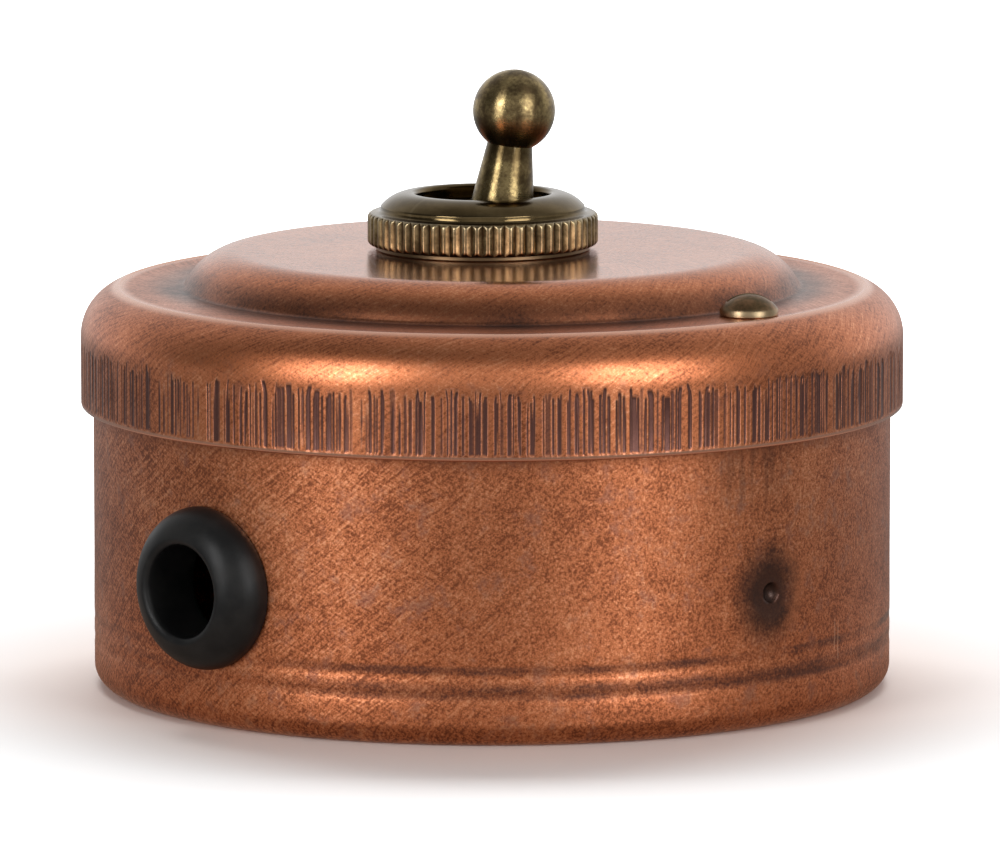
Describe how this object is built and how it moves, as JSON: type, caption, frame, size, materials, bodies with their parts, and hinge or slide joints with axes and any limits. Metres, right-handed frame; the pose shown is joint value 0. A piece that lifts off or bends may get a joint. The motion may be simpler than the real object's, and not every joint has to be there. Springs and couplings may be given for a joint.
{
  "type": "surface dolly switch",
  "caption": "Round surface switch: spun copper cup and stepped cover, knurled brass ring nut, ball-ended dolly that tilts to work a sprung rocker contact, and a rubber cable grommet.",
  "frame": {"origin": "centre of the cup's flat underside, which lies against the wall", "axes": "+Z out of the wall through the dolly, -Y towards the viewer of the picture, and the dolly tilts along X"},
  "size_m": [0.08, 0.08, 0.06],
  "materials": {
    "copper": "aged spun copper, lacquered, with scored and worn bands",
    "antique_brass": "darkened brass with rubbed edges",
    "bright_brass": "plain turned and pressed brass",
    "black_rubber": "matt moulded rubber",
    "zinc_steel": "zinc plated",
    "brown_moulding": "dark phenolic moulding",
    "white_nylon": "moulded nylon",
    "silver": "contact silver"
  },
  "bodies": {
    "housing": {"base_box": "copper", "cover": "copper", "cable_grommet": "black_rubber", "cover_screws": "antique_brass", "cover_lug_front": "bright_brass", "neck_bush": "bright_brass", "seat_washer": "antique_brass", "ring_nut": "antique_brass", "pivot_pin": "zinc_steel", "yoke": "zinc_steel", "switch_body": "brown_moulding", "terminal_base": "brown_moulding", "body_rivets": "zinc_steel", "common_terminal": "bright_brass", "left_terminal": "bright_brass", "right_terminal": "bright_brass", "terminal_screws": "bright_brass", "fixed_contacts": "silver", "earth_post": "bright_brass", "earth_screw": "bright_brass"},
    "dolly": {"dolly_lever": "antique_brass", "plunger_spring": "zinc_steel"},
    "plunger": {"plunger": "white_nylon"},
    "rocker": {"rocker": "bright_brass", "moving_contacts": "silver"}
  },
  "joints": [
    {"name": "dolly_tilt", "type": "hinge", "parent": "housing", "child": "dolly", "pos_m": [-0.0009, 0, 0.0313], "axis": [0, -1, 0], "range_deg": [0, 14]},
    {"name": "plunger_slide", "type": "slide", "parent": "dolly", "child": "plunger", "axis": [0.1219, 0, 0.9925], "range_m": [0, 0.0005], "stiffness_N_per_m": 600, "deforming": ["plunger_spring"]},
    {"name": "rocker_tilt", "type": "hinge", "parent": "housing", "child": "rocker", "pos_m": [-0.0009, 0, 0.0179], "axis": [0, -1, 0], "range_deg": [-16, 0]}
  ],
  "couplings": [
    {"joint": "rocker_tilt", "follows": "dolly_tilt", "ratio": -1.1429}
  ]
}
